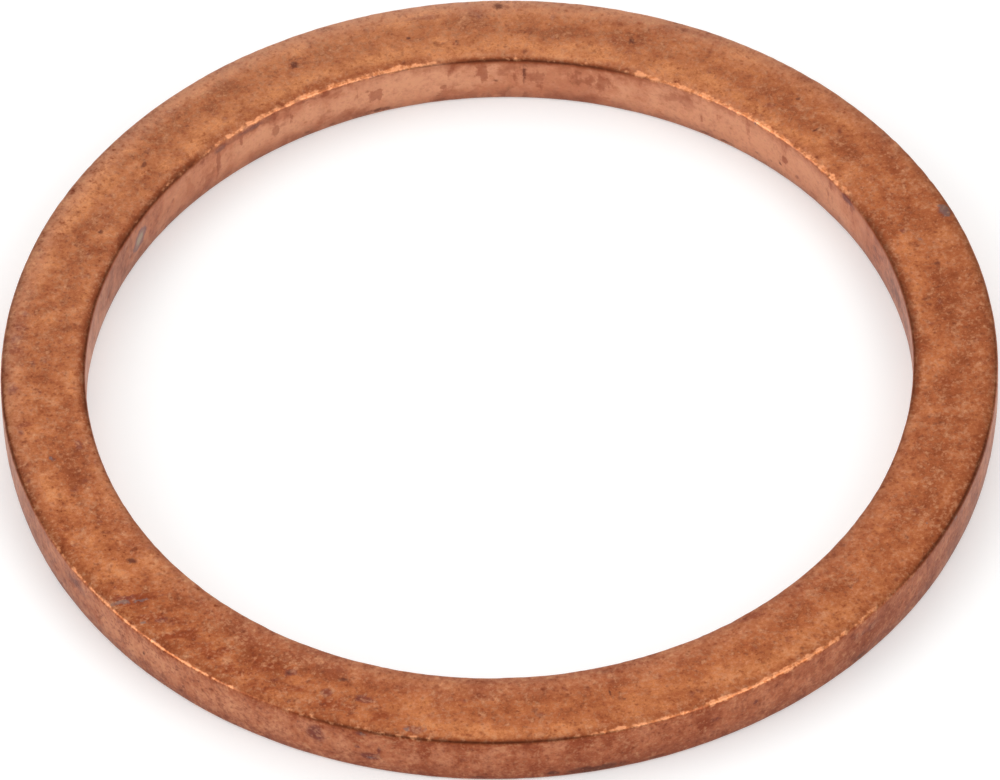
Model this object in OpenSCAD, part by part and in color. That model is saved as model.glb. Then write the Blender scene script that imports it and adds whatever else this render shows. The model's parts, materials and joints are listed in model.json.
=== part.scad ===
// Flat seal ring: a plain soft copper washer, stamped from sheet and tumbled.
// It is squeezed between the head of a screw plug and the face of its port.
// The ring lies flat, centred on the Z axis, with its lower face at Z = 0.
// Both cut edges show how it was stamped: the upper face rolls over towards each wall,
// a smooth round wall follows, and the wall breaks away from the tool near the lower face.

/* [Ring] */
// Diameter of the hole, which passes over the thread of the screw plug
bore_d = 21.4; // [8:0.1:60]
// Width of the ring from the hole to the outside, measured along a radius
face_w = 2.2; // [1.5:0.05:8]
// Thickness of the sheet
thickness = 1.6; // [1.2:0.1:4]

/* [Upper edge round the outside] */
// Radius of the roll-over, by which the upper face curves down towards the outer wall
outer_roll_r = 1.2; // [0.4:0.1:4]
// Slope in degrees that the roll-over reaches before the corner
outer_roll_slope = 14.5; // [2:0.5:45]

/* [Upper edge round the hole] */
// Radius of the roll-over, by which the upper face curves down towards the hole
bore_roll_r = 1.2; // [0.4:0.1:4]
// Slope in degrees that the roll-over reaches before the corner
bore_roll_slope = 14.5; // [2:0.5:45]

/* [Lower edges] */
// Radius of the curve by which both walls break away near the lower face
break_r = 4; // [1:0.1:7]
// Angle in degrees by which the walls lean away before the lower corners
break_lean = 10; // [1:0.5:18]

/* [Corners] */
// Radius of the four corners, rounded by tumbling
corner_r = 0.1; // [0.02:0.02:0.3]

/* [Hidden] */
// Soft copper that has darkened a little
copper = [0.72, 0.45, 0.31];
bore_r = bore_d / 2;
outer_r = bore_r + face_w;
// Length by which a cutting shape runs past the ring's section
overrun = 1;
$fn = 180;

// Waste at a corner that lies at the origin, with the metal below it and to its left.
// The level face bends down on a circle of radius bend_r until it slopes by bend_angle,
// and a circle of radius corner_r, which touches both, carries on to the upright face.
module edge_waste(bend_r, bend_angle) {
  // Where the bend starts on the level face, and where the corner ends on the upright one
  bend_w = corner_r + (bend_r - corner_r) * sin(bend_angle);
  bend_h = bend_r - (bend_r - corner_r) * cos(bend_angle);
  difference() {
    translate([-bend_w, -bend_h]) square([bend_w + overrun, bend_h + overrun]);
    difference() {
      translate([-bend_w, -bend_r]) circle(r = bend_r);
      corner_side(bend_h, bend_angle);
    }
    intersection() {
      translate([-corner_r, -bend_h]) circle(r = corner_r);
      corner_side(bend_h, bend_angle);
    }
  }
}

// All that lies beyond the point where the two circles touch, on the side of the corner
module corner_side(bend_h, bend_angle) {
  touch_x = corner_r * (sin(bend_angle) - 1);
  translate([touch_x, -bend_h - overrun]) square([2 * overrun, bend_h + 2 * overrun]);
}

// Half of the ring's cross-section: X is the distance from the axis, Y is the height
module section() {
  difference() {
    translate([bore_r, 0]) square([face_w, thickness]);
    translate([outer_r, thickness]) edge_waste(outer_roll_r, outer_roll_slope);
    translate([bore_r, thickness]) mirror([1, 0]) edge_waste(bore_roll_r, bore_roll_slope);
    translate([outer_r, 0]) rotate(-90) edge_waste(break_r, break_lean);
    translate([bore_r, 0]) mirror([1, 0]) rotate(-90) edge_waste(break_r, break_lean);
  }
}

module seal_ring() {
  color(copper) rotate_extrude() section();
}

seal_ring();
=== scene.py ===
"""Flat seal ring of soft copper, lying on a pale floor: its mesh, its material, the light and the camera."""
import json
import math

import bpy
import numpy as np
from mathutils import Matrix, Vector


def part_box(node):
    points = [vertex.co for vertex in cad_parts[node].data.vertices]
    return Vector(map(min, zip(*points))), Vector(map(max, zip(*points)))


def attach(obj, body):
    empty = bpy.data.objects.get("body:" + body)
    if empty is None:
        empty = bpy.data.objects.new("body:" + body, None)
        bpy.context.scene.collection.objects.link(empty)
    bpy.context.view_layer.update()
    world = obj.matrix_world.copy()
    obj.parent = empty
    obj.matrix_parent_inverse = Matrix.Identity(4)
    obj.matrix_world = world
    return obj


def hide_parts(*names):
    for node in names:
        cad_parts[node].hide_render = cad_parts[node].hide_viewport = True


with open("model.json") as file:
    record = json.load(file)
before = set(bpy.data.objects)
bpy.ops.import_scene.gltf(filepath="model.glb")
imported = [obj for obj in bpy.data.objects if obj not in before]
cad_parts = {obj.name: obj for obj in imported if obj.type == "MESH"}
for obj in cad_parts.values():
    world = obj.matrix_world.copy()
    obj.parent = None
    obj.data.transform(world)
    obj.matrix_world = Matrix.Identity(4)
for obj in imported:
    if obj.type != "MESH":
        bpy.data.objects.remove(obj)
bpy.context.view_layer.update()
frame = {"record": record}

MM = 0.001

# Sizes of the ring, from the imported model
low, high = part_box("seal_ring")
OUTER_R = (high.x - low.x) / 2
THICKNESS = high.z - low.z
BORE_R = next(m for m in frame["record"]["mounts"] if m["name"] == "bore")["dims"]["r_mm"] * MM

# Form of the edges, as in the solid
ROLL_R = 1.2 * MM
ROLL_SLOPE = math.radians(14.5)
BREAK_R = 4.0 * MM
BREAK_LEAN = math.radians(10)
CORNER_R = 0.1 * MM

# Fineness of the mesh: steps round the ring, and along each stretch of its section
STEPS_ROUND = 1080
LAND_STEPS = 20
ROLL_STEPS = 5
CORNER_STEPS = 6
WALL_STEPS = 9
BREAK_STEPS = 9
LOWER_CORNER_STEPS = 3
BASE_STEPS = 8


# Section of the ring
def bend_size(radius, angle):
    """Width along the level face and height down the upright one that a bend with its corner takes up."""
    width = CORNER_R + (radius - CORNER_R) * math.sin(angle)
    height = radius - (radius - CORNER_R) * math.cos(angle)
    return width, height


def arc(centre, radius, start, end, steps):
    """Points along an arc, from just past its start to its end."""
    turns = np.linspace(start, end, steps + 1)[1:]
    return [(centre[0] - radius * math.cos(a), centre[1] + radius * math.sin(a)) for a in turns]


def line(start, end, steps):
    """Points along a line, from just past its start to its end."""
    return [tuple(np.add(start, np.subtract(end, start) * k / steps)) for k in range(1, steps + 1)]


def edge_points():
    """Points from the upper face over the wall to the lower face, as inset from the wall and height."""
    up = math.pi / 2
    roll_w, roll_h = bend_size(ROLL_R, ROLL_SLOPE)
    break_h, break_w = bend_size(BREAK_R, BREAK_LEAN)
    points = [(roll_w, THICKNESS)]
    points += arc((roll_w, THICKNESS - ROLL_R), ROLL_R, up, up - ROLL_SLOPE, ROLL_STEPS)
    points += arc((CORNER_R, THICKNESS - roll_h), CORNER_R, up - ROLL_SLOPE, 0, CORNER_STEPS)
    points += line(points[-1], (0, break_h), WALL_STEPS)
    points += arc((BREAK_R, break_h), BREAK_R, 0, -BREAK_LEAN, BREAK_STEPS)
    points += arc((break_w, CORNER_R), CORNER_R, -BREAK_LEAN, -up, LOWER_CORNER_STEPS)
    return points


def section_points():
    """Closed section, as radius and height, from the middle of the lower face outwards and round."""
    side = edge_points()
    outer = [(OUTER_R - inset, z) for inset, z in reversed(side)]
    inner = [(BORE_R + inset, z) for inset, z in side]
    middle = ((OUTER_R + BORE_R) / 2, 0)
    points = line(middle, outer[0], BASE_STEPS // 2) + outer[1:]
    points += line(outer[-1], inner[0], LAND_STEPS) + inner[1:]
    points += line(inner[-1], middle, BASE_STEPS // 2)
    return np.array(points)


SECTION = section_points()
ROWS = len(SECTION)
ANGLE = np.linspace(-math.pi, math.pi, STEPS_ROUND, endpoint=False)

# Places along the closed section: how far each row lies from the first, and where the four corners are
GAPS = np.hypot(*(np.roll(SECTION, -1, axis=0) - SECTION).T)
ALONG = np.concatenate([[0], np.cumsum(GAPS)[:-1]])
GIRTH = GAPS.sum()
RADIUS, HEIGHT = SECTION.T


def row_at(radius, height):
    """The row nearest to a point of the section."""
    return int(np.argmin(np.hypot(RADIUS - radius, HEIGHT - height)))


OUTER_FOOT = ALONG[row_at(OUTER_R, 0)]
OUTER_RIM = ALONG[row_at(OUTER_R, THICKNESS)]
INNER_RIM = ALONG[row_at(BORE_R, THICKNESS)]
INNER_FOOT = ALONG[row_at(BORE_R, 0)]

# Stretches of the section on which marks are placed: where a fraction of 0 and of 1 lies.
# On the faces 0 is at the hole and 1 outside; on the walls 0 is at the bottom and 1 at the top.
SURFACES = {
    "face": (INNER_RIM, OUTER_RIM),
    "outer": (OUTER_FOOT, OUTER_RIM),
    "inner": (INNER_FOOT, INNER_RIM),
}


def smooth(x, start=0.0, end=1.0):
    """Goes evenly from 0 to 1 while x goes from start to end."""
    t = np.clip((x - start) / (end - start), 0, 1)
    return t * t * (3 - 2 * t)


def near(place, reach):
    """How close each row is to a place along the section: 1 there, and falling off over a reach."""
    gap = np.abs((ALONG - place + GIRTH / 2) % GIRTH - GIRTH / 2)
    return np.exp(-((gap / reach) ** 2))


def lattice(rng, cells_round, cells_along):
    """A smooth random field from -1 to 1 over the skin, with no seam either way."""
    values = rng.uniform(-1, 1, (cells_round, cells_along))
    u = np.arange(STEPS_ROUND) / STEPS_ROUND * cells_round
    v = ALONG / GIRTH * cells_along
    i, j = u.astype(int), v.astype(int)
    fu, fv = smooth(u - i)[:, None], smooth(v - j)[None, :]
    here = values[i][:, j] * (1 - fv) + values[i][:, (j + 1) % cells_along] * fv
    on = (i + 1) % cells_round
    there = values[on][:, j] * (1 - fv) + values[on][:, (j + 1) % cells_along] * fv
    return here * (1 - fu) + there * fu


def spot(angle, along, half_round, half_along, tilt=0.0):
    """Distance from a place on the skin in every direction, where 1 is the rim of an ellipse."""
    turn = (ANGLE - angle + math.pi) % (2 * math.pi) - math.pi
    x = turn[:, None] * RADIUS[None, :]
    y = ((ALONG - along + GIRTH / 2) % GIRTH - GIRTH / 2)[None, :]
    c, s = math.cos(tilt), math.sin(tilt)
    return np.hypot((x * c + y * s) / half_round, (y * c - x * s) / half_along)


# Marks of the real ring: angle from +X in degrees, fraction across the surface, half length round the ring
# and half width across it in mm, tilt in degrees, and strength
MARKS = {
    # Brown oxide clouds
    "brown": {
        "face": [
            (-166, 0.3, 1.3, 0.35, 0, 0.8), (-175, 0.55, 0.9, 0.3, 0, 0.4), (-150, 0.88, 1.6, 0.22, 0, 0.6),
            (-131, 0.78, 2.6, 0.4, -12, 0.9), (-121, 0.55, 2.4, 0.4, -10, 0.9),
            (-113, 0.3, 1.6, 0.3, 0, 0.8), (-26, 0.88, 2.6, 0.35, 0, 0.8), (2, 0.82, 3.0, 0.5, 0, 1.0),
            (16, 0.8, 1.8, 0.45, 0, 0.8), (-9, 0.76, 2.6, 0.45, 0, 0.8), (-88, 0.66, 0.7, 0.22, 0, 0.8),
            (-77, 0.36, 1.9, 0.28, 0, 0.9), (-51, 0.36, 1.5, 0.3, 0, 0.7), (-14, 0.5, 3.2, 0.6, 0, 0.9),
            (-3, 0.55, 1.8, 0.75, 0, 0.9), (6, 0.6, 2.4, 0.75, 0, 0.9), (17, 0.5, 2.2, 0.5, 0, 0.6),
            (28, 0.72, 1.5, 0.4, 0, 0.6), (38, 0.46, 1.3, 0.22, 0, 0.9), (43, 0.42, 0.8, 0.18, 0, 0.6),
            (53, 0.42, 0.9, 0.2, 0, 0.8), (71, 0.55, 1.1, 0.4, 0, 0.9), (80, 0.5, 1.0, 0.25, 0, 0.6),
            (93, 0.52, 1.0, 0.26, 0, 0.7), (103, 0.5, 1.2, 0.25, 0, 0.7), (116, 0.52, 1.1, 0.25, 0, 0.8),
            (127, 0.66, 0.6, 0.24, 0, 0.8), (137, 0.55, 1.2, 0.26, 0, 0.7), (143, 0.66, 0.35, 0.2, 0, 1.0),
            (-178, 0.78, 0.9, 0.26, 0, 0.8), (179, 0.42, 0.9, 0.24, 0, 0.6), (157, 0.35, 2.0, 0.4, 0, 0.5),
            (172, 0.85, 1.6, 0.28, 0, 0.7),
        ],
        "outer": [
            (-149, 0.5, 1.2, 0.5, 0, 0.7), (-45, 0.6, 1.6, 0.4, 0, 0.7), (-62, 0.6, 1.2, 0.4, 0, 0.4),
            (-30, 0.6, 2.6, 0.7, 0, 0.5), (-160, 0.6, 2.0, 0.6, 0, 0.6), (-84, 0.4, 1.5, 0.5, 0, 0.8),
            (-75, 0.3, 1.3, 0.4, 0, 0.8),
        ],
        "inner": [
            (16, 0.6, 2.0, 0.8, 0, 1.0), (8, 0.5, 2.0, 0.9, 0, 1.0), (80, 0.6, 1.2, 0.35, 0, 0.5),
            (158, 0.5, 3.2, 0.8, 0, 1.0), (145, 0.6, 1.2, 0.5, 0, 0.5), (90, 0.14, 2.5, 0.25, 0, 0.8),
            (126, 0.14, 3.0, 0.22, 0, 0.8), (128, 0.84, 3.0, 0.2, 0, 0.6),
        ],
    },
    # Cleaner, golden places
    "gold": {
        "face": [
            (-160, 0.7, 1.4, 0.3, 0, 0.5), (-147, 0.6, 1.0, 0.28, 0, 0.7), (-152, 0.55, 0.8, 0.26, 0, 0.5),
            (-94, 0.86, 1.0, 0.2, 0, 0.9), (-80, 0.82, 1.8, 0.28, 0, 1.0), (-73, 0.74, 1.0, 0.3, 0, 0.8),
            (-61, 0.75, 1.6, 0.3, 0, 0.8), (-40, 0.8, 2.0, 0.26, 0, 0.5), (-19, 0.86, 0.8, 0.18, 0, 0.4),
            (47, 0.16, 1.6, 0.22, 0, 0.8), (60, 0.2, 1.6, 0.24, 0, 0.7), (84, 0.2, 2.6, 0.24, 0, 0.9),
            (99, 0.16, 1.4, 0.2, 0, 0.7), (113, 0.2, 2.0, 0.22, 0, 0.8), (128, 0.22, 1.4, 0.22, 0, 0.5),
            (147, 0.72, 1.0, 0.3, 0, 0.7), (-171, 0.7, 0.9, 0.3, 0, 0.7),
        ],
        "outer": [
            (-134, 0.46, 3.2, 0.6, 0, 1.0), (-121, 0.44, 2.0, 0.52, 0, 1.0), (-56, 0.45, 0.9, 0.35, 0, 0.4),
            (-110.5, 0.28, 0.8, 0.22, 0, 0.6), (-99.8, 0.56, 1.2, 0.26, 0, 0.9),
            (-68, 0.2, 0.8, 0.22, 0, 0.5),
        ],
        "inner": [
            (37, 0.55, 1.2, 0.45, 0, 0.9), (50, 0.55, 1.8, 0.5, 0, 1.0), (66, 0.5, 1.4, 0.45, 0, 0.6),
            (98, 0.55, 1.4, 0.45, 0, 0.8), (113, 0.5, 1.2, 0.4, 0, 0.8), (125, 0.45, 1.2, 0.4, 0, 0.8),
        ],
    },
    # Red-brown rust-like stains and drips
    "rust": {
        "face": [
            (-141, 0.8, 0.75, 0.2, 62, 1.0), (-137.5, 0.8, 0.6, 0.13, 58, 1.0),
            (-133, 0.74, 0.6, 0.1, 55, 1.0), (-128, 0.7, 0.6, 0.12, 50, 0.9),
            (-123, 0.72, 0.6, 0.12, 45, 0.8), (-110.6, 0.67, 0.06, 0.18, 0, 0.9),
            (-105, 0.76, 0.4, 0.1, 0, 0.8), (-127, 0.74, 1.7, 0.34, -10, 0.72),
            (-153, 0.86, 0.9, 0.26, 0, 0.55), (-119, 0.5, 1.2, 0.3, 0, 0.62),
            (-112, 0.76, 1.5, 0.26, -8, 0.6), (-178, 0.9, 0.16, 0.3, 0, 0.8),
            (-172, 0.84, 0.16, 0.34, 8, 0.7), (176, 0.88, 0.12, 0.3, 0, 0.9),
            (172, 0.86, 0.1, 0.34, -6, 0.8), (166, 0.84, 0.18, 0.26, -10, 0.6),
            (98, 0.78, 0.45, 0.1, 0, 0.8), (96, 0.3, 0.4, 0.12, 0, 0.8), (-56, 0.1, 1.2, 0.14, 0, 0.6),
            (-35, 0.3, 0.9, 0.16, 0, 0.5),
        ],
        "outer": [
            (-88, 0.82, 0.9, 0.2, 0, 0.9), (-82, 0.8, 1.0, 0.22, 0, 0.9), (-78.6, 0.62, 0.1, 0.34, 0, 1.0),
            (-75, 0.66, 0.1, 0.32, 0, 1.0), (-94, 0.55, 0.5, 0.3, 0, 0.7), (-101, 0.62, 0.5, 0.26, 0, 0.7),
            (-147, 0.42, 0.8, 0.3, 0, 0.6), (-134, 0.3, 0.5, 0.16, 0, 0.5), (-68, 0.5, 0.6, 0.34, 0, 0.6),
        ],
        "inner": [
            (30.5, 0.86, 0.36, 0.22, 0, 0.8), (44.4, 0.52, 0.09, 0.09, 0, 1.0),
            (47.1, 0.26, 0.11, 0.07, 0, 0.9), (59, 0.46, 0.07, 0.3, 0, 0.9), (76, 0.62, 0.8, 0.34, 0, 0.8),
            (84, 0.6, 0.6, 0.34, 0, 0.7), (91, 0.72, 0.2, 0.36, 0, 0.9), (106.5, 0.52, 0.22, 0.2, 0, 1.0),
            (96.8, 0.4, 0.1, 0.1, 0, 0.9), (119.5, 0.72, 0.08, 0.28, 0, 0.9), (122, 0.52, 0.14, 0.2, 0, 0.9),
            (127, 0.9, 1.6, 0.1, 0, 0.9), (117, 0.93, 0.9, 0.09, 0, 0.8), (132.3, 0.7, 0.07, 0.36, 0, 1.0),
            (128, 0.8, 0.05, 0.28, 0, 1.0), (142, 0.18, 1.0, 0.1, 0, 0.7),
        ],
    },
    # Purple-brown tarnish
    "purple": {
        "face": [
            (22.5, 0.91, 0.28, 0.24, 20, 0.9), (-118, 0.48, 0.2, 0.11, 25, 1.0),
            (-112.6, 0.6, 0.16, 0.16, 0, 1.0), (-107.9, 0.56, 0.22, 0.14, 0, 1.0),
            (-101, 0.89, 0.32, 0.16, 0, 0.8), (-167.5, 0.2, 0.2, 0.12, 0, 0.9),
            (-166, 0.56, 0.18, 0.09, 30, 0.8), (21.4, 0.31, 0.1, 0.09, 0, 0.9),
            (-141.6, 0.8, 0.48, 0.14, 62, 0.8), (-136, 0.7, 0.34, 0.09, 60, 0.75),
            (-56, 0.06, 0.7, 0.1, 0, 0.5), (-35, 0.1, 1.6, 0.12, 0, 0.5), (174, 0.87, 0.28, 0.2, 0, 0.8),
            (-178, 0.88, 0.28, 0.2, 0, 0.8), (170, 0.8, 0.16, 0.12, 0, 0.7), (-171, 0.84, 0.2, 0.16, 0, 0.7),
            (178, 0.62, 0.14, 0.1, 0, 0.7),
        ],
        "outer": [
            (-112.5, 0.66, 0.28, 0.34, 20, 1.0), (-106.1, 0.36, 0.29, 0.15, 0, 1.0),
            (-107.5, 0.55, 0.08, 0.06, 0, 1.0), (-107, 0.9, 0.24, 0.09, 0, 0.9),
            (-105, 0.56, 0.06, 0.16, 0, 0.8), (-114.6, 0.8, 0.05, 0.1, 0, 0.8),
            (-148, 0.72, 0.9, 0.28, 0, 0.7), (-66, 0.58, 0.2, 0.16, 0, 0.7), (-61, 0.6, 0.16, 0.14, 0, 0.7),
            (-45, 0.72, 0.9, 0.26, 0, 0.6), (-151, 0.4, 0.5, 0.3, 0, 0.5),
        ],
        "inner": [
            (30.5, 0.93, 0.3, 0.14, 0, 0.9), (9, 0.5, 2.2, 0.9, 0, 0.58), (15, 0.55, 2.6, 1.3, 0, 0.57),
            (172, 0.5, 2.0, 0.9, 0, 0.5), (126, 0.92, 0.6, 0.11, 0, 0.75), (132, 0.9, 0.5, 0.12, 0, 0.7),
            (117, 0.94, 0.4, 0.08, 0, 0.6),
        ],
    },
    # Grey and blue-grey specks of oil and tin
    "grey": {
        "face": [
            (22.65, 0.9, 0.2, 0.17, 20, 1.0), (22.2, 0.93, 0.24, 0.09, 0, 1.0),
            (19.25, 0.46, 0.07, 0.06, 0, 0.9), (-141.4, 0.87, 0.26, 0.07, 66, 0.9),
            (-140.2, 0.7, 0.3, 0.06, 62, 0.8), (-137.2, 0.87, 0.18, 0.06, 60, 0.78),
            (-102, 0.9, 0.16, 0.08, 0, 0.8), (-99.8, 0.86, 0.08, 0.12, 0, 0.6),
            (-166, 0.58, 0.1, 0.06, 0, 0.9), (-172.5, 0.5, 0.08, 0.05, 0, 0.8),
            (49.8, 0.0, 0.1, 0.09, 0, 0.9), (-29, 0.77, 0.05, 0.08, 0, 0.6),
            (-134.5, 0.985, 0.12, 0.06, 0, 0.7), (-127, 0.975, 0.1, 0.06, 0, 0.6),
        ],
        "outer": [
            (-26, 0.93, 0.3, 0.1, 0, 0.6), (-106.0, 0.33, 0.16, 0.05, 0, 0.8),
            (-107, 0.91, 0.12, 0.05, 0, 0.7),
        ],
    },
    # A drop of tin on the wall of the hole
    "tin": {
        "inner": [
            (150.3, 0.57, 0.38, 0.23, 44, 1.0),
        ],
    },
    # Dark pits and specks
    "dark": {
        "face": [
            (-145.85, 0.37, 0.15, 0.09, 20, 1.0), (14.5, 0.525, 0.12, 0.1, 0, 0.9),
            (71.5, 0.52, 0.12, 0.18, 20, 0.9), (88.75, 0.885, 0.13, 0.11, 0, 1.0),
            (115.75, 0.53, 0.14, 0.1, 30, 1.0), (-118.3, 0.5, 0.1, 0.08, 0, 0.8),
            (-111.5, 0.34, 0.12, 0.09, 0, 0.9), (-116.4, 0.86, 0.14, 0.12, 0, 0.8),
            (-112.5, 0.79, 0.09, 0.06, 0, 0.9), (-12.9, 0.36, 0.07, 0.14, 20, 0.9),
            (-12.2, 0.22, 0.06, 0.12, 15, 0.8), (-35.5, 0.8, 0.07, 0.08, 0, 0.8),
            (-42.5, 0.56, 0.06, 0.14, 40, 0.8), (-32, 0.655, 0.08, 0.07, 0, 0.7),
            (42.75, 0.36, 0.05, 0.13, 0, 0.8), (141.5, 0.45, 0.11, 0.08, 0, 0.9),
            (139.6, 0.55, 0.06, 0.11, 0, 0.7), (154.3, 0.32, 0.09, 0.07, 0, 0.9),
            (94.2, 0.33, 0.1, 0.09, 0, 0.7), (100.5, 0.46, 0.09, 0.08, 0, 0.8),
            (33, 0.62, 0.06, 0.1, 0, 0.6), (48, 0.6, 0.06, 0.13, 25, 0.6), (64, 0.66, 0.07, 0.09, 0, 0.5),
            (-77.3, 0.46, 0.05, 0.16, 10, 0.8), (-75.9, 0.56, 0.06, 0.1, 0, 0.7),
            (-172.2, 0.5, 0.08, 0.05, 0, 0.7), (10.6, 0.42, 0.09, 0.07, 0, 0.8),
            (163, 0.42, 0.06, 0.1, 0, 0.6),
        ],
        "outer": [
            (-80, 0.1, 0.9, 0.15, 0, 1.0), (-85.3, 0.12, 0.24, 0.12, 0, 1.0),
            (-45.5, 0.12, 0.3, 0.12, 0, 0.9), (-73, 0.07, 0.5, 0.07, 0, 0.7),
            (-100.5, 0.6, 0.14, 0.1, 0, 0.6), (-136, 0.55, 0.05, 0.08, 0, 0.8),
            (-135.3, 0.66, 0.05, 0.06, 0, 0.8), (-116, 0.08, 0.5, 0.06, 0, 0.6),
            (-94, 0.07, 0.7, 0.06, 0, 0.7), (-107, 0.93, 0.28, 0.05, 0, 0.8), (-55, 0.08, 0.7, 0.06, 0, 0.6),
        ],
        "inner": [
            (85.25, 0.62, 0.05, 0.34, 0, 0.9), (45.3, 0.35, 0.05, 0.06, 0, 0.9),
            (46.1, 0.24, 0.07, 0.05, 0, 0.7), (34.2, 0.3, 0.07, 0.06, 0, 0.7),
            (55, 0.08, 0.22, 0.06, 0, 0.9), (58.5, 0.08, 0.26, 0.06, 0, 0.9),
            (106, 0.09, 0.45, 0.09, 0, 0.9), (113, 0.07, 0.24, 0.05, 0, 0.7), (117, 0.1, 0.2, 0.06, 0, 0.8),
            (89.2, 0.5, 0.06, 0.06, 0, 0.8), (97, 0.06, 0.22, 0.05, 0, 0.7), (66, 0.1, 0.3, 0.05, 0, 0.6),
        ],
    },
}


# How far in degrees a stretch of the upper edges fades to both sides of its end
EDGE_FADE = 4

# Stretches of the upper edges: from and to in degrees from +X, how far in mm the stretch lies from the edge
# towards the middle of the upper face, how far in mm it reaches to both sides, and strength
# Painted highlights along the upper edges, partly also rubbed wear
EDGE_HIGHLIGHTS_AND_WEAR = {
    "outer": [
        (-155, -122, 0.0, 0.048, 0.86), (-82, -42, 0.01, 0.072, 1.0), (-120, -98, 0.0, 0.07, 0.45),
        (-40, -33, 0.0, 0.07, 0.4),
    ],
    "inner": [
        (31, 70, 0.03, 0.095, 1.0), (98, 121, 0.03, 0.095, 1.0), (120, 137, 0.02, 0.07, 0.85),
        (137, 152, 0.03, 0.08, 0.42), (70, 98, 0.03, 0.08, 0.4),
    ],
}
# Painted shade along the upper edges, partly dirt
EDGE_SHADE_AND_GRIME = {
    "outer": [
        (-116, -80, -0.02, 0.11, 1.0), (-37, -12, -0.01, 0.12, 1.0), (-180, -159, 0.0, 0.07, 1.0),
        (-157, -120, 0.16, 0.18, 0.45), (-82, -39, 0.14, 0.15, 0.4), (-40, -8, 0.16, 0.22, 0.5),
    ],
    "inner": [
        (-12, 29, 0.07, 0.19, 0.86), (69, 96, -0.02, 0.12, 1.0), (134, 158, 0.05, 0.15, 1.0),
        (158, 192, 0.05, 0.16, 0.86), (98, 134, 0.16, 0.2, 0.6),
    ],
}


def edge_field(edges):
    """Closeness to stretches of the upper edges, fading at their ends."""
    field = np.zeros((STEPS_ROUND, ROWS))
    for surface, stretches in edges.items():
        rim = SURFACES[surface][1]
        inwards = math.copysign(1, (OUTER_RIM + INNER_RIM) / 2 - rim)
        for start, end, offset, reach, strength in stretches:
            turn = np.degrees(ANGLE) - (start + end) / 2
            gap = np.abs((turn + 180) % 360 - 180) - (end - start) / 2
            ends = strength * (1 - smooth(gap, -EDGE_FADE, EDGE_FADE))[:, None]
            field = np.maximum(field, ends * near(rim + inwards * offset * MM, reach * MM))
    return field


def mark_field(kind):
    """Signed closeness to the marks of a kind: 0.5 at their rims, up to 1 inside, falling to 0 outside."""
    field = np.zeros((STEPS_ROUND, ROWS))
    for surface, marks in MARKS[kind].items():
        start, end = SURFACES[surface]
        for degrees, across, half_round, half_along, tilt, strength in marks:
            along = start + across * (end - start)
            gap = spot(math.radians(degrees), along, half_round * MM, half_along * MM, math.radians(tilt))
            field = np.maximum(field, strength * np.clip(1 - gap / 2, 0, 1))
    return field


# Relief of the skin: how far in mm each point stands off the true form, along the normal. The reaches are
# how far along the section the wear of the rims and feet goes. The walls are torn up to the first of the two
# heights, and no longer above the second.
RELIEF_SEED = 12
PITS = 260
NICKS = 70
DEEPEST_PIT = 0.020
RIM_REACH = 0.11 * MM
FOOT_REACH = 0.16 * MM
TORN_FROM = 0.35 * MM
TORN_TO = 0.8 * MM


def relief(rng):
    """Height of the skin above the true form, and how deep in a pit or nick each point lies."""
    rims = near(OUTER_RIM, RIM_REACH) + near(INNER_RIM, RIM_REACH)
    feet = near(OUTER_FOOT, FOOT_REACH) + near(INNER_FOOT, FOOT_REACH)
    wall = WALL_ROWS * (1 - rims) * (1 - feet)
    torn = wall * (1 - smooth(HEIGHT, TORN_FROM, TORN_TO))
    height = 0.005 * lattice(rng, 18, 3) + 0.003 * lattice(rng, 60, 8) + 0.0015 * lattice(rng, 200, 20)
    uneven = 0.003 * lattice(rng, 70, 30) + 0.004 * lattice(rng, 260, 60) + 0.003 * lattice(rng, 520, 60)
    height += rims * uneven
    height += feet * (0.002 * lattice(rng, 60, 30) + 0.003 * lattice(rng, 240, 60))
    height += wall * (0.0015 * lattice(rng, 270, 3) + 0.002 * lattice(rng, 540, 3))
    height += torn * (0.004 * lattice(rng, 120, 20) + 0.004 * lattice(rng, 360, 40))
    depth = np.zeros((STEPS_ROUND, ROWS))
    for _ in range(PITS):
        size = rng.uniform(0.07, 0.16)
        gap = spot(rng.uniform(-math.pi, math.pi), rng.uniform(0, GIRTH), size * MM,
                   size * rng.uniform(0.6, 1) * MM, rng.uniform(-1, 1))
        deepest = rng.uniform(0.008, DEEPEST_PIT) * (1 - 0.75 * np.clip(rims + feet, 0, 1))
        depth = np.maximum(depth, deepest * np.clip(1 - gap ** 2, 0, 1))
    for _ in range(NICKS):
        rim = OUTER_RIM if rng.uniform() < 0.6 else INNER_RIM
        gap = spot(rng.uniform(-math.pi, math.pi), rim + rng.uniform(-0.05, 0.05) * MM,
                   rng.uniform(0.08, 0.18) * MM, rng.uniform(0.08, 0.14) * MM, rng.uniform(-0.3, 0.3))
        depth = np.maximum(depth, rng.uniform(0.003, 0.008) * np.clip(1 - gap ** 2, 0, 1))
    return (height - depth) * MM, depth


# Outward normals of the section, and how upright each row stands
AHEAD = np.roll(SECTION, -1, axis=0) - np.roll(SECTION, 1, axis=0)
NORMALS = np.stack([AHEAD[:, 1], -AHEAD[:, 0]], axis=1) / np.hypot(*AHEAD.T)[:, None]
WALL_ROWS = smooth(np.abs(NORMALS[:, 0]), 0.5, 0.9)


# Map for baking: the number of its strips, and the free margin of each as a share of the strip
MAP_STRIPS = 3
MAP_MARGIN = 0.012


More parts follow.
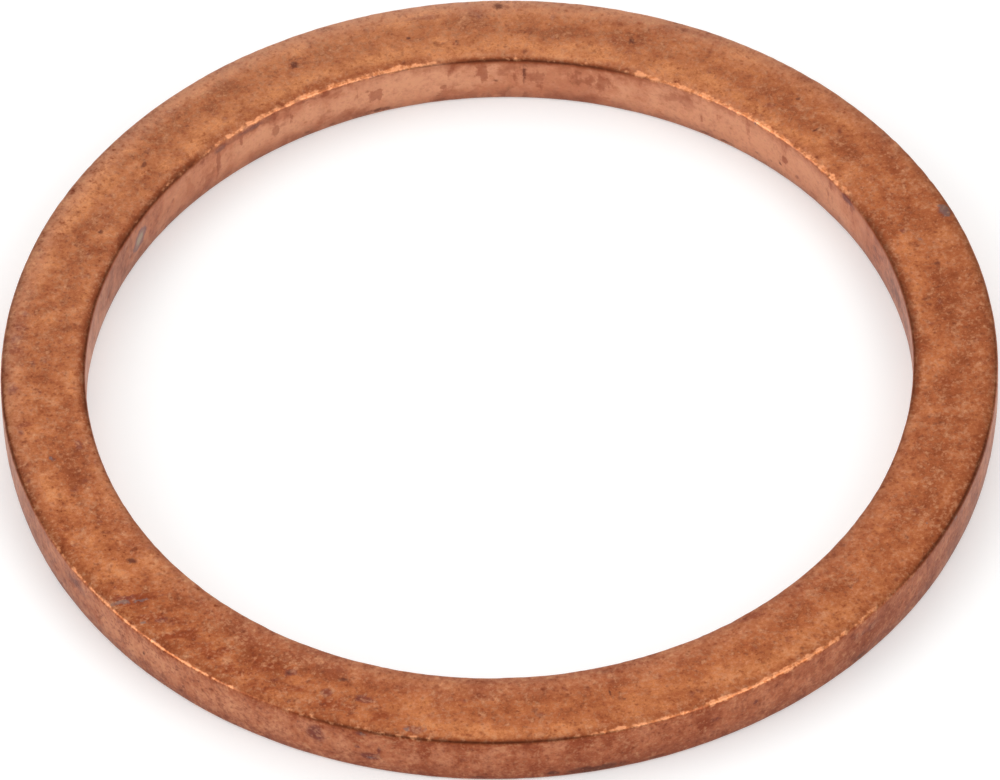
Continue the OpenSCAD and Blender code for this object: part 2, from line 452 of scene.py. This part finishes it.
def skin_map(mesh):
    """Map for baking: the skin cut into strips, each an equal part of the way round."""
    strips, margin = MAP_STRIPS, MAP_MARGIN
    step = np.repeat(np.arange(STEPS_ROUND), ROWS)
    row = np.tile(np.arange(ROWS), STEPS_ROUND)
    per_strip = STEPS_ROUND // strips
    strip, left = step // per_strip, step % per_strip
    ends = np.append(ALONG, GIRTH) / GIRTH
    u = np.stack([left, left + 1, left + 1, left], axis=1) / per_strip
    v = np.stack([ends[row], ends[row], ends[row + 1], ends[row + 1]], axis=1)
    u = margin / strips + u * (1 - 2 * margin / strips)
    v = (strip[:, None] + margin + v * (1 - 2 * margin)) / strips
    layer = mesh.uv_layers.new(name="OFBake")
    layer.data.foreach_set("uv", np.stack([u, v], axis=-1).ravel())


def build_ring():
    """The ring as one closed mesh, swept round the axis, with its wear."""
    rng = np.random.default_rng(RELIEF_SEED)
    height, depth = relief(rng)
    radius = RADIUS + height * NORMALS[:, 0]
    level = HEIGHT + height * NORMALS[:, 1]
    level = np.maximum(level, 0)
    turn = ANGLE[:, None]
    places = np.stack([radius * np.cos(turn), radius * np.sin(turn), level], axis=-1).reshape(-1, 3)
    step, row = np.meshgrid(np.arange(STEPS_ROUND), np.arange(ROWS), indexing="ij")
    on, up = (step + 1) % STEPS_ROUND, (row + 1) % ROWS
    faces = np.stack([step * ROWS + row, on * ROWS + row, on * ROWS + up, step * ROWS + up], axis=-1)
    mesh = bpy.data.meshes.new("seal_ring_finish")
    mesh.from_pydata(places.tolist(), [], faces.reshape(-1, 4).tolist())
    mesh.polygons.foreach_set("use_smooth", [True] * len(mesh.polygons))
    skin_map(mesh)
    all_round = np.ones((STEPS_ROUND, 1))
    fields = {kind: mark_field(kind) for kind in MARKS}
    fields["pit"] = depth / DEEPEST_PIT
    fields["highlight_and_wear"] = edge_field(EDGE_HIGHLIGHTS_AND_WEAR)
    fields["shade_and_grime"] = edge_field(EDGE_SHADE_AND_GRIME)
    fields["wall"] = all_round * WALL_ROWS
    fields["across"] = all_round * (RADIUS - BORE_R) / (OUTER_R - BORE_R)
    for name, field in fields.items():
        values = field.ravel().astype(np.float32)
        mesh.attributes.new(name, "FLOAT", "POINT").data.foreach_set("value", values)
    mesh.update()
    ring = bpy.data.objects.new("seal_ring_finish", mesh)
    bpy.context.scene.collection.objects.link(ring)
    return ring


# Shader building
class Shades:
    """Adds shader nodes to a material. Each call returns the socket that carries its result."""

    def __init__(self, tree):
        self.tree = tree
        place = self.add("ShaderNodeTexCoord").outputs["Object"]
        self.place = self.vector("SCALE", place, Scale=1 / MM)

    def add(self, kind, settings=None, **sockets):
        node = self.tree.nodes.new(kind)
        for name, value in (settings or {}).items():
            setattr(node, name, value)
        for name, value in sockets.items():
            self.feed(node.inputs[name.replace("_", " ")], value)
        return node

    def feed(self, socket, value):
        if isinstance(value, bpy.types.NodeSocket):
            self.tree.links.new(value, socket)
        else:
            socket.default_value = value

    def math(self, operation, *values):
        node = self.add("ShaderNodeMath", {"operation": operation})
        for socket, value in zip(node.inputs, values):
            self.feed(socket, value)
        return node.outputs[0]

    def vector(self, operation, *values, **sockets):
        node = self.add("ShaderNodeVectorMath", {"operation": operation}, **sockets)
        for socket, value in zip(node.inputs, values):
            self.feed(socket, value)
        return node.outputs["Vector"]

    def total(self, *values):
        result = values[0]
        for value in values[1:]:
            result = self.math("ADD", result, value)
        return result

    def product(self, *values):
        result = values[0]
        for value in values[1:]:
            result = self.math("MULTIPLY", result, value)
        return result

    def stretched(self, x, y, z, shift=0.0):
        """The place in mm times a factor for each axis, moved to another part of the noise by the shift."""
        return self.vector("MULTIPLY_ADD", self.place, (x, y, z), (shift, shift, shift))

    def turned(self, degrees, x, y, z, shift=0.0):
        """The place turned about the axis, then stretched: for marks that run in one direction."""
        node = self.add("ShaderNodeMapping", {"vector_type": "POINT"}, Vector=self.place)
        node.inputs["Rotation"].default_value = (0, 0, math.radians(degrees))
        return self.vector("MULTIPLY_ADD", node.outputs["Vector"], (x, y, z), (shift, shift, shift))

    def drawn_in(self, distance):
        """The place moved towards the axis: a pattern there is longer round the ring than across it."""
        outwards = self.vector("NORMALIZE", self.vector("MULTIPLY", self.place, (1, 1, 0)))
        return self.vector("MULTIPLY_ADD", outwards, (-distance,) * 3, self.place)

    def noise(self, place, scale, detail=2.0, roughness=0.5, distortion=0.0):
        """Noise about 0, mostly between -1 and 1."""
        node = self.add("ShaderNodeTexNoise", Vector=place, Scale=scale, Detail=detail, Roughness=roughness,
                        Distortion=distortion)
        return self.math("MULTIPLY_ADD", node.outputs[0], 5.0, -2.5)

    def specks(self, scale, size, shift):
        """Scattered ragged specks: 1 in their middles, 0 between them. The size is a share of the spacing."""
        ragged = self.add("ShaderNodeTexNoise", Vector=self.place, Scale=2.4 * scale, Detail=1.0)
        shifted = self.stretched(1, 1, 1, shift)
        place = self.vector("MULTIPLY_ADD", ragged.outputs["Color"], (0.5 / scale,) * 3, shifted)
        middle = self.add("ShaderNodeTexVoronoi", Vector=place, Scale=scale).outputs["Distance"]
        return self.step(middle, size, 0.1 * size)

    def step(self, value, start, end):
        """Goes smoothly from 0 to 1 while the value goes from start to end."""
        node = self.add("ShaderNodeMapRange", {"interpolation_type": "SMOOTHSTEP"}, Value=value)
        node.inputs["From Min"].default_value, node.inputs["From Max"].default_value = start, end
        return node.outputs["Result"]

    def mix(self, factor, a, b):
        """The colour a where the factor is 0, and b where it is 1."""
        node = self.add("ShaderNodeMix", {"data_type": "RGBA"})
        for socket, value in zip((node.inputs[0], node.inputs[6], node.inputs[7]), (factor, a, b)):
            self.feed(socket, value)
        return node.outputs[2]

    def blend(self, factor, a, b):
        """The value a where the factor is 0, and b where it is 1."""
        node = self.add("ShaderNodeMix", {"data_type": "FLOAT"})
        for socket, value in zip((node.inputs[0], node.inputs[2], node.inputs[3]), (factor, a, b)):
            self.feed(socket, value)
        return node.outputs[0]

    def attribute(self, name):
        return self.add("ShaderNodeAttribute", {"attribute_name": name}).outputs["Fac"]


def direction(azimuth, elevation):
    """Unit vector, with the azimuth counted from +X towards +Y, in degrees."""
    a, e = math.radians(azimuth), math.radians(elevation)
    return Vector((math.cos(a) * math.cos(e), math.sin(a) * math.cos(e), math.sin(e)))


def paint(red, green, blue):
    """A colour as it looks on screen, from 0 to 255, as the shader takes it."""
    parts = [c / 255 for c in (red, green, blue)]
    return tuple(c / 12.92 if c <= 0.04045 else ((c + 0.055) / 1.055) ** 2.4 for c in parts) + (1,)


# Colours of the copper: its faces and walls, what lies on them, the painted highlights, sheen and shade, and
# the tints of the shader
FACE_GOLD = paint(194, 119, 74)
FACE_TAN = paint(172, 99, 60)
FACE_BROWN = paint(142, 77, 44)
FACE_PINK = paint(184, 118, 90)
WALL_PALE = paint(212, 145, 112)
WALL_PINK = paint(187, 115, 82)
WALL_BROWN = paint(138, 76, 52)
WALL_RUSTY = paint(168, 90, 54)
WALL_FOOT_SHADE_AND_DIRT = paint(120, 64, 44)
WALL_TOP = paint(140, 70, 38)
# Colour of the painted shade and dirt along the upper edges
EDGE_GRIME_AND_SHADE = paint(134, 68, 34)
# Clean copper, also the colour of the painted highlights on the edges
CLEAN_AND_HIGHLIGHT = paint(234, 158, 112)
CLEAN_DEEP_AND_HIGHLIGHT = paint(204, 124, 76)
RUST = paint(134, 62, 32)
PURPLE = paint(110, 60, 54)
GREY = paint(104, 92, 92)
TIN = paint(172, 154, 136)
TIN_RIM = paint(112, 90, 100)
GRIME_AND_SHADE_CORE = paint(96, 48, 25)
FAR_RIM_SHEEN = paint(208, 152, 130)
NEAR_RIM = paint(156, 96, 74)
DARK = paint(80, 42, 32)
PIT = paint(108, 52, 32)
PALE_GRAIN_AND_GLINT = paint(224, 156, 118)
DEEP_GRAIN = paint(112, 50, 22)
GLARE_TINT = (0.030, 0.032, 0.023)
GLARE_AZIMUTH = 115
EDGE_TINT = (0.95, 0.88, 0.83, 1)
COAT = 0.12
COAT_ROUGHNESS = 0.45
BUMP_UNIT = 0.01 * MM


def copper_material():
    """Worn copper: fields of noise and of placed marks, by which one colour after another is laid on, painted
    highlights, sheen and shade among them.
    """
    material = bpy.data.materials.new("worn_copper")
    material.use_nodes = True
    tree = material.node_tree
    shader = tree.nodes["Principled BSDF"]
    shader.inputs["Metallic"].default_value = 1.0
    shader.inputs["Coat Weight"].default_value = COAT
    shader.inputs["Coat Roughness"].default_value = COAT_ROUGHNESS
    shader.inputs["Specular Tint"].default_value = EDGE_TINT
    s = Shades(tree)

    # Fields that everything is broken up by
    cloud = s.noise(s.place, 0.42, 4.0, 0.6, 0.3)
    drawn_in = s.drawn_in(6.5)
    bands = s.noise(drawn_in, 1.3, 4.0, 0.62)
    strokes = s.noise(s.turned(-9, 0.9, 3.4, 1.0, 23), 1.0, 3.0, 0.65)
    blotch = s.noise(s.stretched(1, 1, 1, 31), 1.6, 4.0, 0.62)
    mottle = s.noise(s.stretched(1, 1, 1, 57), 4.2, 3.0, 0.65)
    grain = s.noise(s.stretched(1, 1, 1, 83), 8.0, 2.0, 0.65)
    patina = s.noise(s.stretched(1, 1, 1, 97), 1.7, 6.0, 0.8)
    streak = s.noise(s.stretched(2.6, 2.6, 0.5, 11), 1.0, 3.0, 0.6)
    shear = s.noise(s.stretched(11, 11, 0.8, 19), 1.0, 2.0, 0.6)
    breakup = s.total(s.product(blotch, 0.35), s.product(mottle, 0.35), s.product(grain, 0.3))
    wall = s.step(s.total(s.attribute("wall"), s.product(mottle, 0.12)), 0.3, 0.7)
    level = s.math("SUBTRACT", 1.0, wall)
    east, north, up = s.add("ShaderNodeSeparateXYZ", Vector=s.place).outputs
    reach = OUTER_R / MM
    height = s.math("DIVIDE", up, THICKNESS / MM)
    across = s.attribute("across")
    outside = s.step(across, 0.4, 0.6)

    # Upper and lower face: cloudy oxide over golden copper, with a grain
    middle = s.math("SUBTRACT", 0.42, s.math("ABSOLUTE", s.math("SUBTRACT", across, 0.48)))
    clouded = s.math("SUBTRACT", s.product(s.attribute("brown"), 0.9), s.product(s.attribute("gold"), 0.9))
    browning = s.total(
        s.product(cloud, 0.45), s.product(bands, 0.76), s.product(strokes, 0.30), s.product(mottle, 0.65),
        s.product(grain, 0.85), clouded, s.product(middle, 0.7), -0.1,
    )
    face = s.mix(s.step(browning, -0.65, -0.05), FACE_GOLD, FACE_TAN)
    face = s.mix(s.step(browning, 0.30, 0.95), face, FACE_BROWN)
    from_middle = s.math("ABSOLUTE", s.math("SUBTRACT", across, 0.5))
    rims = s.step(s.total(from_middle, s.product(breakup, 0.04)), 0.32, 0.48)
    face = s.mix(s.product(rims, s.blend(outside, 0.28, 0.08)), face, FACE_PINK)
    face = s.mix(s.product(s.step(across, 0.78, 1.0), 0.14), face, FACE_BROWN)

    # Walls: pink copper, with drips of rust from the top, and painted shade with some dirt at the bottom
    staining = s.total(
        s.product(cloud, 0.35), s.product(streak, s.blend(outside, 0.15, 0.45)),
        s.product(blotch, s.blend(outside, 0.45, 0.85)), s.product(mottle, s.blend(outside, 0.25, 0.65)),
        s.product(grain, s.blend(outside, 0.25, 0.5)), clouded, s.product(outside, 0.45), -0.1,
    )
    side = s.mix(s.step(staining, -0.7, 0.35), WALL_PALE, WALL_PINK)
    side = s.mix(s.step(staining, 0.25, 1.3), side, WALL_BROWN)
    inside = s.math("SUBTRACT", 1.0, outside)
    ragged_height = s.total(height, s.product(streak, 0.07), s.product(mottle, 0.08))
    # Painted contact shade at the foot of the walls, with some dirt
    foot_shade_and_dirt = s.step(s.total(ragged_height, s.product(inside, 0.12)), 0.45, -0.02)
    side = s.mix(s.product(foot_shade_and_dirt, 0.8), side, WALL_FOOT_SHADE_AND_DIRT)
    top = s.step(ragged_height, 0.70, 0.98)
    side = s.mix(s.product(top, 0.5), side, WALL_TOP)
    side = s.mix(s.product(outside, 0.42), side, WALL_RUSTY)
    dried = s.total(s.noise(s.stretched(0.9, 0.9, 0.6, 43), 1.0, 3.0, 0.55, 0.4), s.product(streak, 0.25))
    side = s.mix(s.product(s.step(dried, 0.14, 0.34), inside, 0.3), side, WALL_PALE)
    colour = s.mix(wall, face, side)

    # Stains, each with a ragged rim: strokes along one direction on the faces, and drips on the walls
    run = s.blend(wall, strokes, streak)

    def stain(kind, tint, strength, on_wall, ragged=0.5, drawn_out=0.0, rim=(0.42, 0.66)):
        nonlocal colour
        mask = s.step(s.total(s.attribute(kind), s.product(breakup, ragged), s.product(run, drawn_out)), *rim)
        colour = s.mix(s.product(mask, s.blend(wall, strength, on_wall)), colour, tint)
        return mask

    dirty = s.noise(s.stretched(1, 1, 1, 7), 0.8, 3.0, 0.65)
    grime = s.step(s.total(dirty, s.product(breakup, 0.6)), 0.35, 1.0)
    colour = s.mix(s.product(grime, 0.4), colour, RUST)
    drips = s.step(s.total(streak, s.product(height, 0.5), s.product(mottle, 0.3)), 0.9, 1.5)
    colour = s.mix(s.product(drips, wall, 0.5), colour, RUST)
    stain("rust", RUST, 0.7, 0.55, 0.35, 0.3)
    stain("purple", PURPLE, 0.7, 0.9, 0.25, 0.0, (0.38, 0.66))

    # Purple spots scattered over the faces
    crowded = s.step(s.total(blotch, s.product(mottle, 0.4)), -0.6, 0.3)
    spots = s.product(s.specks(1.5, 0.23, 91), crowded, level)
    colour = s.mix(s.product(spots, 0.55), colour, PURPLE)

    # Painted glare: a pale sheen of reflected light over one side of the ring
    towards = s.add("ShaderNodeVectorMath", {"operation": "DOT_PRODUCT"})
    s.feed(towards.inputs[0], s.place)
    s.feed(towards.inputs[1], tuple(direction(GLARE_AZIMUTH, 0) / reach))
    painted_glare = s.math("MAXIMUM", towards.outputs["Value"], 0.0)
    colour = s.vector("MULTIPLY_ADD", painted_glare, GLARE_TINT, colour)

    # The face is browner at the right, as painted shade, and at its left rim; greyer at its near rim; and
    # paler at its far one, as a painted sheen. The front wall is a little browner, and the left half has more
    # specks
    right_side_shade = s.product(s.math("MAXIMUM", s.product(east, 1 / reach), 0.0), level)
    near_side = s.product(s.math("MAXIMUM", s.product(north, -1 / reach), 0.0), level)
    colour = s.mix(s.product(s.step(across, 0.25, 0.85), right_side_shade, 0.45), colour, FACE_BROWN)
    colour = s.mix(s.product(s.step(across, 0.50, 0.02), near_side, 0.7), colour, NEAR_RIM)
    # Painted sheen of reflected light along the far outer rim
    far = s.product(s.step(across, 0.62, 1.0), painted_glare, level)
    colour = s.mix(s.product(far, 0.52), colour, FAR_RIM_SHEEN)
    west = s.step(east, 0.0, -reach)
    colour = s.mix(s.product(s.step(across, 0.80, 1.0), west, level, 0.35), colour, FACE_BROWN)
    front = s.product(s.step(north, -0.72 * reach, -reach), wall, outside)
    colour = s.mix(s.product(front, 0.15), colour, WALL_TOP)
    left_specks = s.product(s.specks(3.3, 0.30, 67), west, s.step(s.total(blotch, mottle), -0.5, 0.6), level)
    colour = s.mix(s.product(left_specks, 0.60), colour, PURPLE)

    # Painted shade along the upper edges, partly dirt
    edge_shade_and_dirt = s.attribute("shade_and_grime")
    shade_and_grime = s.step(s.total(edge_shade_and_dirt, s.product(blotch, 0.10), s.product(mottle, 0.10)), 0.05, 0.85)
    colour = s.mix(s.product(shade_and_grime, 0.80), colour, EDGE_GRIME_AND_SHADE)

    # Pale and deep grains over everything, calmer on the wall of the hole
    open_calm = s.total(1.0, s.product(painted_glare, -0.20), s.product(west, 0.14))
    calm = s.blend(s.product(wall, inside), open_calm, 0.35)
    grains = s.total(s.product(patina, 0.60), s.product(mottle, 0.25), s.product(grain, 0.55))
    grains = s.product(grains, calm)
    colour = s.mix(s.product(s.math("MAXIMUM", grains, 0.0), 0.60), colour, PALE_GRAIN_AND_GLINT)
    colour = s.mix(s.product(s.math("MINIMUM", grains, 0.0), -0.85), colour, DEEP_GRAIN)

    # Pits and specks
    coarse = s.specks(3.0, 0.28, 5)
    fine = s.specks(6.5, 0.38, 41)
    clusters = s.blend(s.step(blotch, -0.5, 0.7), 0.45, 1.1)
    pits = s.product(s.math("MAXIMUM", s.product(coarse, clusters), s.product(fine, 0.75)), calm)
    colour = s.mix(s.product(pits, 0.55), colour, PIT)
    stain("dark", DARK, 0.8, 0.75, 0.45, 0.0, (0.34, 0.80))
    grey = stain("grey", GREY, 0.62, 0.70)
    tin = s.total(s.attribute("tin"), s.product(breakup, 0.16))
    colour = s.mix(s.product(s.step(tin, 0.38, 0.56), 0.65), colour, TIN_RIM)
    colour = s.mix(s.product(s.step(tin, 0.56, 0.84), 0.9), colour, TIN)
    colour = s.mix(s.product(s.step(s.attribute("pit"), 0.25, 0.9), 0.5), colour, PIT)
    # Painted glints: tiny pale specks of painted highlight
    glints = s.specks(7.0, 0.34, 71)
    colour = s.mix(s.product(glints, calm, 0.22), colour, PALE_GRAIN_AND_GLINT)

    # The darkest line of the painted shade and dirt along the edges, over the grains
    darkest_shade_and_grime = s.step(s.total(edge_shade_and_dirt, s.product(mottle, 0.14), s.product(grain, 0.07)), 0.62, 1.02)
    colour = s.mix(s.product(darkest_shade_and_grime, 0.58), colour, GRIME_AND_SHADE_CORE)

    # Darker places are redder and lighter ones more golden, against the usual green of each surface
    usual_green = s.blend(wall, 0.118, s.blend(inside, 0.135, 0.21))
    green = s.add("ShaderNodeSeparateXYZ", Vector=colour).outputs[1]
    lift = s.math("POWER", s.math("DIVIDE", green, usual_green), 0.045)
    lift = s.product(lift, s.math("MULTIPLY_ADD", grain, 0.017, 1.0))
    shift = s.add("ShaderNodeCombineXYZ", X=s.math("DIVIDE", 1.0, lift), Y=lift, Z=1.0).outputs[0]
    colour = s.vector("MULTIPLY", colour, shift)

    # Scratches across the faces
    def scratches(degrees, shift):
        lines = s.math("ABSOLUTE", s.noise(s.turned(degrees, 3.4, 0.16, 1.0, shift), 1.0, 1.0, 0.5, 0.2))
        return s.product(s.step(lines, 0.08, 0.0), s.step(breakup, 0.0, 0.5), level)

    bright_lines = scratches(25, 13)
    dark_lines = scratches(-50, 29)
    colour = s.mix(s.product(bright_lines, 0.2), colour, CLEAN_AND_HIGHLIGHT)
    colour = s.mix(s.product(dark_lines, 0.5), colour, FACE_BROWN)

    # Painted highlights along stretches of the upper edges, where the copper is also rubbed clean
    highlight_and_wear = s.attribute("highlight_and_wear")
    rough_edge = s.noise(s.stretched(1, 1, 1, 63), 3.6, 2.0, 0.6)
    worn_and_highlit = s.step(s.total(highlight_and_wear, s.product(breakup, 0.50), s.product(rough_edge, 0.45)), 0.40, 1.05)
    worn_and_highlit = s.product(worn_and_highlit, s.step(highlight_and_wear, 0.04, 0.30))
    rubbed_and_highlit = s.mix(s.step(s.total(grain, s.product(rough_edge, 0.5)), -0.6, 0.6), CLEAN_DEEP_AND_HIGHLIGHT, CLEAN_AND_HIGHLIGHT)
    colour = s.mix(s.product(worn_and_highlit, 0.85), colour, rubbed_and_highlit)
    tree.links.new(colour, shader.inputs["Base Color"])

    roughness = s.total(
        s.blend(wall, 0.44, 0.40), s.product(blotch, 0.03), s.product(grain, 0.03), s.product(pits, 0.10),
        s.product(worn_and_highlit, -0.08), s.product(grey, -0.10),
    )
    tree.links.new(roughness, shader.inputs["Roughness"])

    # Fine relief, in bump units
    bumps = s.total(
        s.product(grain, 0.14), s.product(mottle, 0.12), s.product(fine, -0.12), s.product(shear, wall, 0.1),
        s.product(rough_edge, highlight_and_wear, 0.50),
    )
    bump = s.add("ShaderNodeBump", Height=bumps, Distance=BUMP_UNIT, Strength=1.0)
    tree.links.new(bump.outputs[0], shader.inputs["Normal"])
    return material


ring = build_ring()
ring.data.materials.append(copper_material())
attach(ring, "root")
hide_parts("seal_ring")


# Floor
FLOOR_SIZE = 4.0
FLOOR_LEVEL = -0.005 * MM
FLOOR_COLOUR = 0.8
FLOOR_ROUGHNESS = 0.9
FLOOR_GLOW = 0.27


def build_floor():
    """A wide pale sheet just under the ring, which glows for the camera, reflections and glass only."""
    half = FLOOR_SIZE / 2
    mesh = bpy.data.meshes.new("floor")
    sides = ((-half, -half), (half, -half), (half, half), (-half, half))
    mesh.from_pydata([(x, y, FLOOR_LEVEL) for x, y in sides], [], [(0, 1, 2, 3)])
    floor = bpy.data.objects.new("floor", mesh)
    bpy.context.scene.collection.objects.link(floor)
    material = bpy.data.materials.new("white_paper")
    material.use_nodes = True
    tree = material.node_tree
    shader = tree.nodes["Principled BSDF"]
    shader.inputs["Base Color"].default_value = (FLOOR_COLOUR,) * 3 + (1,)
    shader.inputs["Roughness"].default_value = FLOOR_ROUGHNESS
    shader.inputs["Emission Color"].default_value = (1, 1, 1, 1)
    path = tree.nodes.new("ShaderNodeLightPath")
    seen = tree.nodes.new("ShaderNodeMath")
    seen.operation = "MAXIMUM"
    tree.links.new(path.outputs["Is Camera Ray"], seen.inputs[0])
    tree.links.new(path.outputs["Is Glossy Ray"], seen.inputs[1])
    through = tree.nodes.new("ShaderNodeMath")
    through.operation = "MAXIMUM"
    tree.links.new(seen.outputs[0], through.inputs[0])
    tree.links.new(path.outputs["Is Transmission Ray"], through.inputs[1])
    glow = tree.nodes.new("ShaderNodeMath")
    glow.operation = "MULTIPLY"
    glow.inputs[1].default_value = FLOOR_GLOW
    tree.links.new(through.outputs[0], glow.inputs[0])
    tree.links.new(glow.outputs[0], shader.inputs["Emission Strength"])
    mesh.materials.append(material)


build_floor()


# Light: soft boxes round the ring, and an even glow
WORLD_LEVEL = 0.3


def softbox(name, azimuth, elevation, distance, width, height, radiance, colour=(1, 1, 1)):
    """A rectangular lamp that faces the ring, by its direction, distance and size in metres, and radiance."""
    data = bpy.data.lights.new(name, "AREA")
    data.shape = "RECTANGLE"
    data.size, data.size_y = width, height
    data.energy = radiance * math.pi * width * height
    data.color = colour
    lamp = bpy.data.objects.new(name, data)
    towards = direction(azimuth, elevation)
    lamp.location = towards * distance
    lamp.rotation_mode = "QUATERNION"
    lamp.rotation_quaternion = towards.to_track_quat("Z", "Y")
    lamp.visible_camera = False
    bpy.context.scene.collection.objects.link(lamp)


softbox("back_light", 90, 50, 0.8, 0.6, 0.4, 1.15, (1, 0.96, 0.90))
softbox("top_light", 90, 88, 0.8, 1.2, 0.9, 0.85)
softbox("low_back_light", 90, 16, 0.9, 0.8, 0.35, 1.2)
softbox("right_light", -40, 36, 0.8, 0.5, 0.6, 2.2)
softbox("left_light", -166, 34, 0.8, 0.5, 0.6, 2.2)
softbox("front_light", -135, 24, 0.9, 0.6, 0.35, 0.8)

world = bpy.data.worlds.new("studio")
world.use_nodes = True
world.node_tree.nodes["Background"].inputs["Color"].default_value = (1, 1, 1, 1)
world.node_tree.nodes["Background"].inputs["Strength"].default_value = WORLD_LEVEL
bpy.context.scene.world = world


# Camera, fitted to the ring's outlines in the photograph, whose size is 1000 by 780 pixels
CAMERA_ELEVATION = math.radians(48.246)
CAMERA_ROLL = math.radians(-1.71)
CAMERA_DISTANCE = 30 * OUTER_R
CAMERA_ASIDE = -0.008 * MM
CAMERA_RAISED = 0.331 * MM
FOCAL_PIXELS = 14919
PHOTO_WIDTH = 1000
SENSOR = 36.0
CLIP = (0.01, 10)


def build_camera():
    """A long lens looking down at the ring from its front, slightly rolled."""
    forward = Vector((0, math.cos(CAMERA_ELEVATION), -math.sin(CAMERA_ELEVATION)))
    level_right = Vector((1, 0, 0))
    level_up = level_right.cross(forward)
    right = math.cos(CAMERA_ROLL) * level_right + math.sin(CAMERA_ROLL) * level_up
    up = math.cos(CAMERA_ROLL) * level_up - math.sin(CAMERA_ROLL) * level_right
    data = bpy.data.cameras.new("camera")
    data.sensor_width = SENSOR
    data.lens = FOCAL_PIXELS / PHOTO_WIDTH * SENSOR
    data.clip_start, data.clip_end = CLIP
    camera = bpy.data.objects.new("camera", data)
    place = -CAMERA_DISTANCE * forward + CAMERA_ASIDE * right + CAMERA_RAISED * up
    camera.matrix_world = Matrix.Translation(place) @ Matrix((right, up, -forward)).transposed().to_4x4()
    bpy.context.scene.collection.objects.link(camera)
    bpy.context.scene.camera = camera


build_camera()
bpy.context.scene.view_settings.view_transform = "Standard"
